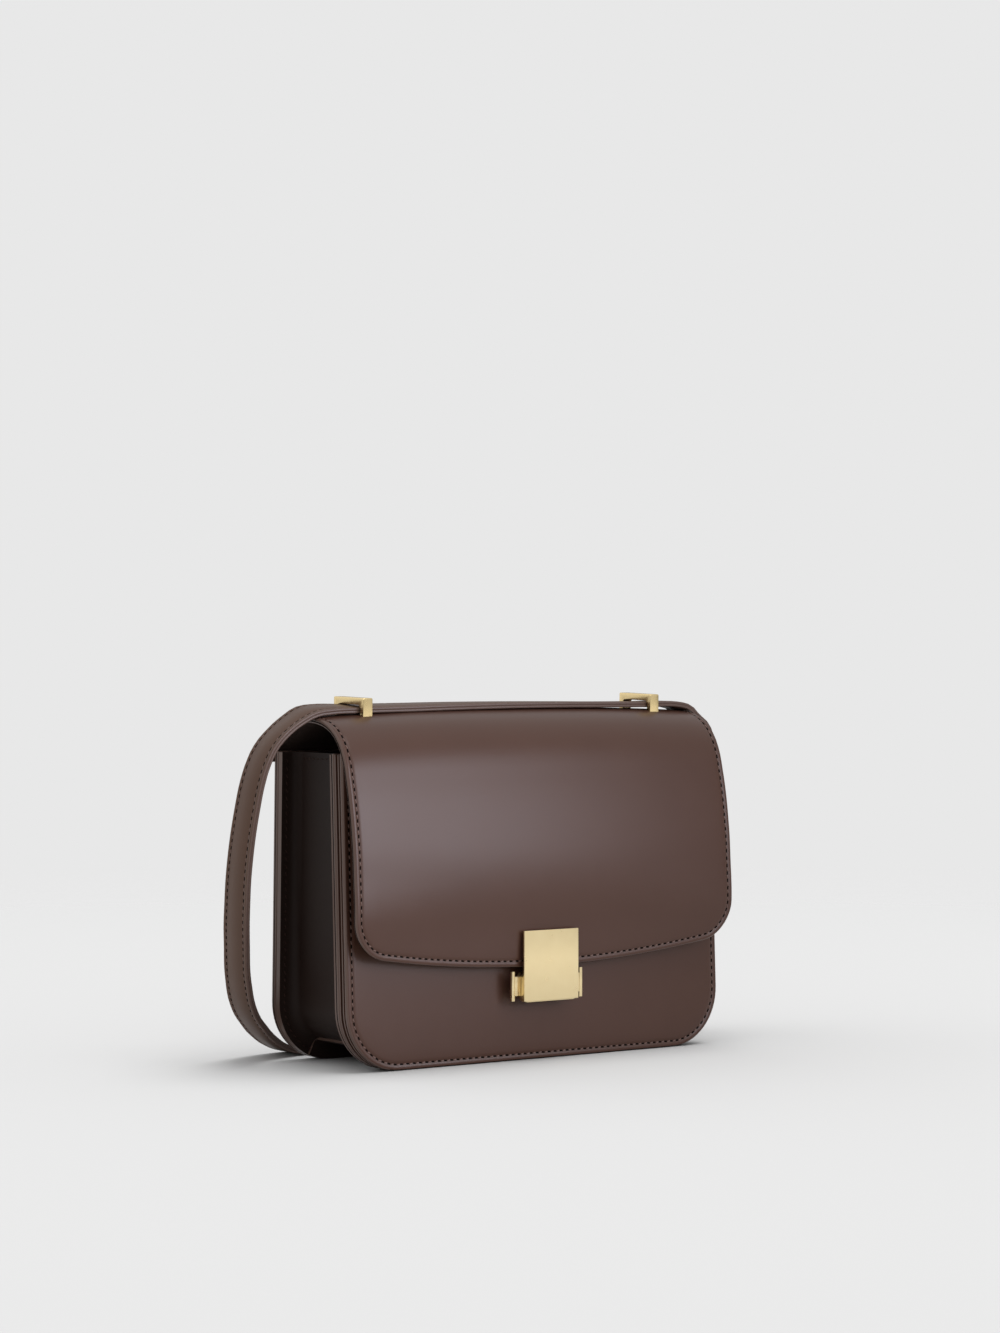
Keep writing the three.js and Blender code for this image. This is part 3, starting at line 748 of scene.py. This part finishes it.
# The gusset's stitches take a darker copy of the waxed thread, and holes of the gusset's calf, as painted
# shade.
gusset_thread.data.materials[0] = leather(
    "gusset_thread", (0.026, 0.0125, 0.0095), (0.034, 0.0165, 0.0125), 0.50, 0.60, 0.1, 1500, 0.12
)
gusset_thread.data.materials[1] = gusset_calf_and_shade
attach(gusset_thread, "bag")


# Gusset foot: a thicker strip of the same calf along the bottom, its painted ends lapped over the two sides
# part of the way up each corner.
foot_wall = (0.0088, 0.0116)
foot_leaf = (0.0026, 0.0044)
foot_fillet = 0.0015
foot_turn = 25

foot_gusset = fold_section(
    "gusset_bottom_leather", foot_wall, gusset_front, gusset_back, foot_leaf, foot_fillet
)
put_down()
settle(foot_gusset, (0, 0, 0), (0, -pi / 2, 0))
work_on(foot_gusset)
bpy.ops.mesh.select_all(action="SELECT")
turn_corner(foot_turn, 5, (0, 0, 0), (0, -1, 0))
pick("FACE", lambda f: abs(f.calc_center_median().x) < 1e-6 and abs(f.normal.x) > 0.99)
carry((2 * center_in, 0, 0))
turn_corner(foot_turn, 5, (2 * center_in, 0, 0))
fit(foot_gusset, gusset_calf_and_shade)
# Its two cut ends, the only faces with so many corners, are painted as well.
for polygon in foot_gusset.data.polygons:
    if len(polygon.vertices) > 8:
        polygon.material_index = 1
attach(foot_gusset, "bag")
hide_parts("gusset_bottom")


# Flap: calf and lining glued flat, creased and sewn, then wrapped from in front of the body over its top and
# down behind, where its lower edge is sewn to the back panel. It stands off the body in front.
flap_half = 0.122
flap_thick = 0.0032
flap_lining = 0.0013
flap_corner = 0.018
flap_sag = 0.0077
sag_half = 0.101
flap_start = 0.005
flap_swell = 0.0002
flap_crown, crown_curve, crown_foot, flap_top = 0.0027, 2.6, 0.149, 0.1793
flap_flare, flare_from, flare_full, flare_back = 0.0026, 0.105, 0.070, 0.02
bend_from, bend_step, bow_step = 0.012, 0.004, 0.0122
lap_narrow = 0.55

flap_side = [
    (-0.0041, 0.0440), (-0.0044, 0.0580), (-0.0051, 0.0703), (-0.0065, 0.0837), (-0.0071, 0.0960),
    (-0.0068, 0.1084), (-0.0054, 0.1218), (-0.0034, 0.1352), (-0.0008, 0.1470), (0.0026, 0.1585),
    (0.0077, 0.1668), (0.0145, 0.1722), (0.0236, 0.1752), (0.0350, 0.1761), (0.0466, 0.1752),
    (0.0553, 0.1727), (0.0625, 0.1685), (0.0669, 0.1638), (0.0684, 0.1603), (0.0685, 0.1552),
]


def slice_across(piece, normal, start, stop, step):
    """Cuts a flat piece into narrow bands, so that it can bend."""
    work_on(piece)
    count = ceil((stop - start) / step)
    for i in range(1, count):
        at = start + (stop - start) * i / count
        slice_at(Vector(normal) * at, normal)
    put_down()


flap_line = bend_line("flap_side_line", [(y, z, 0) for y, z in flap_side], (pi / 2, 0, pi / 2))
flap_long = flap_line.data.splines[0].calc_length() - flap_start
flap = blank("flap_leather", 2 * flap_half, flap_long, flap_corner)
pick("EDGE", lambda e: all(v.co.y < 1e-6 for v in e.verts))
bpy.ops.mesh.subdivide(number_cuts=29)
put_down()
# The lower edge is cut in a shallow bow, lowest in the middle.
for vertex in flap.data.vertices:
    if vertex.co.y < flap_corner + 1e-6:
        vertex.co.y += flap_sag * (vertex.co.x / sag_half) ** 2
settle(flap, (0, flap_start, 0))
work_on(flap)
flap_seam = seam_line(flap)
thicken(flap_thick, edge_round, flap_lining)
press_crease(flap_thick, edge_round, flap_swell)
dress(flap, flap_thick, join=flap_lining)
slice_across(flap, (0, 1, 0), flap_start + bend_from, flap_start + flap_long, bend_step)
slice_across(flap, (1, 0, 0), -flap_half, flap_half, bow_step)
flap_thread = sew("flap_thread", flap_seam, flap_thick - crease_depth)
lap_end = flap_start + flap_long - seam_in
lap_line = bend_line("lap_line", [(side * (flap_half - seam_in), lap_end, 0) for side in (-1, 1)], (0, 0, 0))
lap_thread = sew("lap_thread", lap_line, flap_thick)
work_on(lap_thread)
bpy.ops.mesh.select_all(action="SELECT")
bpy.ops.transform.resize(value=(1, lap_narrow, 1), center_override=(0, lap_end, 0))
put_down()
flap_thread = join_up("flap_thread", [flap_thread, lap_thread])
for piece in (flap, flap_thread):
    bend_along(piece, flap_line)
    # The top arches up in the middle, and the lower corners in front stand out.
    for vertex in piece.data.vertices:
        x, y, z = vertex.co
        side = min(1, abs(x / flap_half))
        high = max(0, min(1, (z - crown_foot) / (flap_top - crown_foot)))
        vertex.co.z += flap_crown * (1 - side ** crown_curve) * high
        if y < flare_back:
            low = max(0, min(1, (flare_from - z) / (flare_from - flare_full)))
            vertex.co.y -= flap_flare * side ** 2 * low * low * (3 - 2 * low)
    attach(piece, "bag")
soften(flap)
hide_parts("flap")
bpy.data.objects.remove(flap_line)


# Strap loops: two closed rings of flat brass bar that the strap runs through, plated in pale gold and brushed
# to a satin. Each foot is let through slots in the top of the flap and held under the leather.
loop_out = 0.0936
loop_width = 0.0059
loop_length = 0.0272
loop_bar, loop_top_bar, loop_foot_bar = 0.0031, 0.0035, 0.002
loop_foot, loop_top = 0.1724, 0.1890
loop_middle = 0.034
loop_lean = 1.4
loop_round, bore_round, loop_break = 0.0008, 0.0022, 0.00035
scratch_depth = 0.00005


def brushed_group():
    """Long fine scratches along Z as a height, and a faint cloudiness as a mask."""
    group = bpy.data.node_groups.new("brushed_metal", "ShaderNodeTree")
    group.interface.new_socket("Height", in_out="OUTPUT", socket_type="NodeSocketFloat")
    group.interface.new_socket("Cloud", in_out="OUTPUT", socket_type="NodeSocketFloat")
    nodes, links = group.nodes, group.links
    result = nodes.new("NodeGroupOutput")
    place = nodes.new("ShaderNodeTexCoord")
    drawn = nodes.new("ShaderNodeMapping")
    drawn.inputs["Scale"].default_value = (9000, 9000, 120)
    links.new(place.outputs["Object"], drawn.inputs["Vector"])
    scratch = nodes.new("ShaderNodeTexNoise")
    scratch.inputs["Scale"].default_value = 1
    scratch.inputs["Detail"].default_value = 2
    links.new(drawn.outputs["Vector"], scratch.inputs["Vector"])
    links.new(scratch.outputs["Fac"], result.inputs["Height"])
    cloud = nodes.new("ShaderNodeTexNoise")
    cloud.inputs["Scale"].default_value = 160
    cloud.inputs["Detail"].default_value = 4
    links.new(place.outputs["Object"], cloud.inputs["Vector"])
    links.new(cloud.outputs["Fac"], result.inputs["Cloud"])
    return group


brushed_metal = brushed_group()


def brass(name, deep, light, clear_rough, dull_rough, relief):
    """A plated brass whose tone and gloss vary faintly with the brushing."""
    paint, shader, _ = finish(
        name, brushed_metal, "Cloud", deep, light, clear_rough, dull_rough, relief, scratch_depth
    )
    shader.inputs["Metallic"].default_value = 1
    return paint


loop_brass = brass("loop_brass", (0.70, 0.54, 0.27), (0.77, 0.61, 0.33), 0.22, 0.32, 0.25)


def box_blank(name, size, place):
    """A block at its size and place, left in edit mode."""
    return start(name, bpy.ops.mesh.primitive_cube_add, size, place)


def run(edge, along):
    """How far an edge runs in one direction."""
    return abs(edge.verts[0].co[along] - edge.verts[1].co[along])


def break_edges(width, segments=2):
    """Rounds off all the sharp edges of the piece in hand and leaves edit mode."""
    bpy.ops.mesh.select_mode(type="EDGE")
    bpy.ops.mesh.select_all(action="DESELECT")
    bpy.ops.mesh.edges_select_sharp(sharpness=radians(30))
    bpy.ops.mesh.bevel(offset=width, segments=segments, affect="EDGES")
    face_out()
    put_down()


def cut_out(piece, tool):
    """Cuts the shape of a tool out of a piece."""
    cut = piece.modifiers.new("cut", "BOOLEAN")
    cut.object = tool
    cut.solver = "EXACT"
    take_shape(piece)
    bpy.data.objects.remove(tool)


def strap_loop(name, x):
    """One ring, standing across the strap."""
    height = loop_top - loop_foot
    ring = box_blank(name, (loop_width, loop_length, height), (0, 0, -height / 2))
    pick("EDGE", lambda e: run(e, 0) > loop_width / 2 and all(v.co.z > -1e-6 for v in e.verts))
    bpy.ops.mesh.bevel(offset=loop_round, segments=3, affect="EDGES")
    pick("FACE", lambda f: abs(f.normal.x) > 0.99)
    bpy.ops.mesh.delete(type="FACE")
    put_down()
    bore_size = (3 * loop_width, loop_length - 2 * loop_bar, height - loop_top_bar - loop_foot_bar)
    bore = box_blank("loop_bore", bore_size, (0, 0, -(height + loop_top_bar - loop_foot_bar) / 2))
    pick("EDGE", lambda e: run(e, 0) > loop_width and all(v.co.z > -height / 2 for v in e.verts))
    bpy.ops.mesh.bevel(offset=bore_round, segments=5, affect="EDGES")
    put_down()
    work_on(ring)
    pick("EDGE", lambda e: e.is_boundary)
    bpy.ops.mesh.edge_face_add()
    face_out()
    put_down()
    cut_out(ring, bore)
    work_on(ring)
    break_edges(loop_break)
    ring.data.materials.append(loop_brass)
    settle(ring, (x, loop_middle, loop_top), (radians(loop_lean), 0, 0))
    soften(ring, 35)
    return ring


def light_evenly(fitting):
    """Lights a bright fitting by the white card in place of the soft box."""
    off_box.objects.link(fitting)
    off_box.collection_objects[-1].light_linking.link_state = "EXCLUDE"
    on_card.objects.link(fitting)


for side, node in ((-1, "loop_left"), (1, "loop_right")):
    ring = strap_loop(node + "_ring", side * loop_out)
    light_evenly(ring)
    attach(ring, "bag")
    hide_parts(node)


# Clasp plate: a flat brushed plate over the middle of the flap's edge. Behind its upper half a spacer is
# riveted through the leather. Behind its lower half a shallow housing takes the catch and the two buttons.
plate_low, plate_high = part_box("clasp_plate")
plate_half, plate_foot, plate_top = 0.0176, 0.0314, 0.0680
plate_face, plate_thick = plate_low.y, 0.0014
plate_back = plate_face + plate_thick
housing_half, housing_foot, housing_height = 0.0172, 0.0309, 0.0153
housing_depth, housing_wall, housing_corner = 0.0039, 0.0012, 0.0025
housing_sunk = 0.0004
button_middle = 0.03925
shank_half, shank_play = 0.005, 0.0003
shank_face, shank_thick = plate_face + 0.0038, 0.0014
slot_wide = 0.06
spacer_wide, spacer_depth, spacer_high, spacer_sunk = 0.026, 0.0016, 0.013, 0.0002
rivet_out, rivet_up, rivet_radius = 0.0095, 0.0575, 0.0016
head_radius, head_height = 0.003, 0.0012
plate_break, housing_break, spacer_break = 0.0003, 0.00018, 0.0002
satin_brass = brass("satin_brass", (0.88, 0.71, 0.405), (0.94, 0.78, 0.47), 0.24, 0.34, 0.30)


def rounded_bar(name, size, place, corner, along, segments=5):
    """A block whose four edges along one direction are rounded, left in edit mode."""
    piece = box_blank(name, size, place)
    pick("EDGE", lambda e: run(e, along) > size[along] / 2)
    bpy.ops.mesh.bevel(offset=corner, segments=segments, affect="EDGES")
    return piece


def rivet_head(name, radius, height, place, turn):
    """A low domed rivet head, its flat side at its place."""
    bpy.ops.object.select_all(action="DESELECT")
    bpy.ops.mesh.primitive_cylinder_add(vertices=24, radius=radius, depth=height, location=(0, 0, height / 2))
    head = bpy.context.object
    head.name = head.data.name = name
    bpy.ops.object.transform_apply(location=True, rotation=True, scale=True)
    work_on(head)
    pick("EDGE", lambda e: flat(e, height))
    bpy.ops.mesh.bevel(offset=height * 0.8, segments=4, affect="EDGES")
    put_down()
    settle(head, place, turn)
    return head


def pin(radius, long, place, sides=24):
    """A round pin through the leather, from front to back."""
    bpy.ops.object.select_all(action="DESELECT")
    bpy.ops.mesh.primitive_cylinder_add(vertices=sides, radius=radius, depth=long, location=(0, 0, 0))
    shaft = bpy.context.object
    settle(shaft, place, (pi / 2, 0, 0))
    return shaft


def solder(name, pieces):
    """Joins the parts of one fitting and gives it its finish."""
    fitting = join_up(name, pieces)
    fitting.data.materials.clear()
    fitting.data.materials.append(satin_brass)
    soften(fitting, 35)
    return fitting


plate = box_blank(
    "clasp_plate_face",
    (2 * plate_half, plate_thick, plate_top - plate_foot),
    (0, plate_face + plate_thick / 2, (plate_foot + plate_top) / 2),
)
break_edges(plate_break, 3)
housing = rounded_bar(
    "clasp_housing",
    (2 * housing_half, housing_depth + housing_sunk, housing_height),
    (0, plate_back - housing_sunk + (housing_depth + housing_sunk) / 2, housing_foot + housing_height / 2),
    housing_corner,
    along=1,
)
pick("FACE", lambda f: abs(f.normal.y) > 0.99)
bpy.ops.mesh.delete(type="FACE")
put_down()
wall = housing.modifiers.new("wall", "SOLIDIFY")
wall.thickness = housing_wall
wall.offset = -1
take_shape(housing)
slot = box_blank(
    "shank_slot",
    (slot_wide, housing_depth, 2 * shank_half + 2 * shank_play),
    (0, shank_face - shank_play + housing_depth / 2, button_middle),
)
put_down()
cut_out(housing, slot)
work_on(housing)
break_edges(housing_break)
spacer = box_blank(
    "clasp_spacer",
    (spacer_wide, spacer_depth + spacer_sunk, spacer_high),
    (0, plate_back + (spacer_depth - spacer_sunk) / 2, rivet_up),
)
break_edges(spacer_break)
clasp_parts = [plate, housing, spacer]
rivet_middle = (plate_high.y + plate_back) / 2 - head_height / 2
for side in (-1, 1):
    x = side * rivet_out
    clasp_parts.append(pin(rivet_radius, plate_high.y - plate_back, (x, rivet_middle, rivet_up)))
    head_place = (x, plate_high.y - head_height, rivet_up)
    clasp_parts.append(rivet_head("clasp_rivet", head_radius, head_height, head_place, (-pi / 2, 0, 0)))
clasp = solder("clasp_plate_brass", clasp_parts)
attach(clasp, "bag")
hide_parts("clasp_plate")
light_evenly(clasp)


# Squeeze buttons: a brass bar at each side of the housing on a flat shank, with a lip inside that stops it
# falling out. Pressed together they free the catch.
button_face, button_depth = plate_face + 0.00355, 0.0019
button_inner, button_thick, button_height = 0.0209, 0.002, 0.0154
shank_out, shank_long = 0.0169, 0.0098
lip_size, lip_out, lip_front = (0.0015, 0.0017, 0.008), 0.01495, 0.00065
bar_corner, bar_break, shank_break = 0.0004, 0.0002, 0.00015

for side, node in ((-1, "button_left"), (1, "button_right")):
    bar = rounded_bar(
        node + "_bar",
        (button_thick, button_depth, button_height),
        (side * (button_inner + button_thick / 2), button_face + button_depth / 2, button_middle),
        bar_corner,
        along=2,
        segments=3,
    )
    break_edges(bar_break)
    shank = box_blank(
        node + "_shank",
        (shank_long, shank_thick, 2 * shank_half),
        (side * shank_out, shank_face + shank_thick / 2, button_middle),
    )
    break_edges(shank_break)
    lip = box_blank(node + "_lip", lip_size, (side * lip_out, shank_face - lip_front, button_middle))
    break_edges(shank_break)
    button = solder(node + "_brass", [bar, shank, lip])
    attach(button, node)
    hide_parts(node)
    light_evenly(button)


# Catch: a small brass plate studded to the front panel behind the housing, with a boss in its middle that the
# lips of the two buttons grip.
catch_half, catch_height, catch_thick = 0.0145, 0.0134, 0.0015
catch_corner, catch_break, boss_break = 0.002, 0.0002, 0.0003
catch_face = front_foot + front_lean * button_middle - 0.0003
boss_wide, boss_high = 0.013, 0.0088
boss_front, boss_back = plate_back + 0.001, catch_face - 0.0001
stud_out, stud_radius, stud_head = 0.011, 0.0014, 0.0006
stud_long, stud_behind = 0.0045, 0.0013

catch_plate = rounded_bar(
    "catch_plate",
    (2 * catch_half, catch_thick, catch_height),
    (0, catch_face - catch_thick / 2, button_middle),
    catch_corner,
    along=1,
)
break_edges(catch_break)
boss = box_blank(
    "catch_boss",
    (boss_wide, boss_back - boss_front, boss_high),
    (0, (boss_back + boss_front) / 2, button_middle),
)
break_edges(boss_break, 3)
catch_parts = [catch_plate, boss]
for side in (-1, 1):
    x = side * stud_out
    head_place = (x, catch_face - catch_thick, button_middle)
    catch_parts.append(rivet_head("catch_stud", stud_radius, stud_head, head_place, (pi / 2, 0, 0)))
    catch_parts.append(pin(stud_radius, stud_long, (x, catch_face + stud_behind, button_middle), 20))
catch = solder("clasp_base_brass", catch_parts)
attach(catch, "bag")
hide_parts("clasp_base")


# Strap: two bands of calf glued back to back, stitched along both edges and painted. It runs through the
# loops over the flap, stands away from the bag at each side and lies in a loop on the floor behind.
strap_width, strap_thick = 0.020, 0.003
strap_seam = 0.0026
strap_round = 0.0006
strap_glue, strap_glue_deep = 0.0002, 0.00022
strap_top, strap_low = 0.1836, 0.0016
strap_reach = 0.061
swell_left, swell_right = 0.0315, 0.021
# A copy of the panels' calf, duller in gloss; its extra lightness is painted light on the strap.
strap_calf_and_painted_light = leather(
    "strap_calf_and_painted_light", (0.080, 0.0455, 0.0315), (0.094, 0.054, 0.038), 0.40, 0.48, 0.08, 1500, 0.12
)

# Points from the middle of the top to the middle of the back: how far out, as shares of the flap's half width
# and of the swell beyond it, how far back, and how high.
strap_half = [
    (0, 0, 0, 1.0015), (.3, 0, 0, 1.0005), (.55, 0, 0, .9985), (.767, 0, 0, .9975), (.935, 0, 0, .996),
    (1, 0, 0, .990), (1, .25, 0, .969), (1, .545, 0, .934), (1, .765, .015, .892), (1, .885, .03, .849),
    (1, .96, .05, .803), (1, 1.01, .09, .735), (1, 1.03, .2, .577), (1, .93, .33, .435), (1, .79, .45, .334),
    (1, .603, .58, .23), (1, .308, .72, .138), (1, .02, .8, .087), (.934, 0, .87, .051), (.862, 0, .92, .024),
    (.772, 0, .96, .004), (.656, 0, .985, 0), (.33, 0, 1, 0), (0, 0, 1, 0),
]
# On the right it drops from the flap a little sooner, by these shares of the height.
right_drop = {5: 0.005, 6: 0.009}
# The strap rolls towards the front beside the left loop: its roll in degrees at each point from the middle.
strap_roll = {-7: 1, -6: 4, -5: 7, -4: 7, -3: 4.5, -2: 4, -1: 3, 0: 1.5, 1: 0.5}


def strap_points(side, swell):
    """The strap's middle line down one side, in the bending line's own frame: across, down, back."""
    drop = right_drop if side > 0 else {}
    rise = strap_top - strap_low
    points = []
    for i, (over, out, back, up) in enumerate(strap_half):
        down = -strap_low - (up - drop.get(i, 0)) * rise
        points.append((side * (over * flap_half + out * swell), down, loop_middle + back * strap_reach))
    return points


strap_line = bend_line(
    "strap_line",
    strap_points(-1, swell_left)[::-1] + strap_points(1, swell_right)[1:-1],
    (-pi / 2, 0, 0),
    closed=True,
)
for step, roll in strap_roll.items():
    strap_line.data.splines[0].bezier_points[len(strap_half) - 1 + step].tilt = radians(roll)
strap_long = strap_line.data.splines[0].calc_length()
strap_steps = round(strap_long / stitch_pitch)
strap_pitch = strap_long / strap_steps

strap = box_blank("strap_leather", (strap_pitch, strap_width, strap_thick), (strap_pitch / 2, 0, 0))
pick("FACE", lambda f: abs(f.normal.x) > 0.99)
bpy.ops.mesh.delete(type="FACE")
pick("EDGE", lambda e: run(e, 0) > strap_pitch / 2)
bpy.ops.mesh.bevel(offset=strap_round, segments=3, affect="EDGES")
for level in (-strap_glue, 0, strap_glue):
    slice_at((0, 0, level), (0, 0, 1))
seam_at = strap_width / 2 - strap_seam
for side in (-1, 1):
    for inward in (-2 * crease_half, -crease_half, crease_half, 2 * crease_half):
        slice_at((0, side * (seam_at - inward), 0), (0, 1, 0))
    pick("VERT", lambda v: abs(v.co.z) < 1e-6 and v.co.y * side > 0)
    bpy.ops.transform.translate(value=(0, -side * strap_glue_deep, 0))
for face in (-1, 1):
    pick("VERT", lambda v: abs(abs(v.co.y) - seam_at) < crease_half * 1.1 and v.co.z * face > 0.001)
    bpy.ops.transform.translate(value=(0, 0, -face * crease_depth))
put_down()
strap.data.materials.append(strap_calf_and_painted_light)
strap.data.materials.append(edge_paint)
for polygon in strap.data.polygons:
    if abs(polygon.normal.z) < 0.8 and abs(polygon.center.y) > seam_at + 0.001:
        polygon.material_index = 1

stitches = []
for side in (-1, 1):
    for face in (-1, 1):
        stitch = one_stitch("strap_stitch")
        turn = 0 if face > 0 else pi
        settle(stitch, (0, side * seam_at, face * (strap_thick / 2 - crease_depth)), (turn, 0, 0))
        stitches.append(stitch)
strap_thread = join_up("strap_thread", stitches)
for piece in (strap, strap_thread):
    array = repeat(piece, strap_steps, strap_pitch)
    array.use_merge_vertices = piece == strap
    array.merge_threshold = 1e-5
    bend_along(piece, strap_line)
    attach(piece, "bag")
work_on(strap)
trim(gap=0.00008)
soften(strap, 50)
soften(strap_thread, 60)
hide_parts("strap")
bpy.data.objects.remove(strap_line)
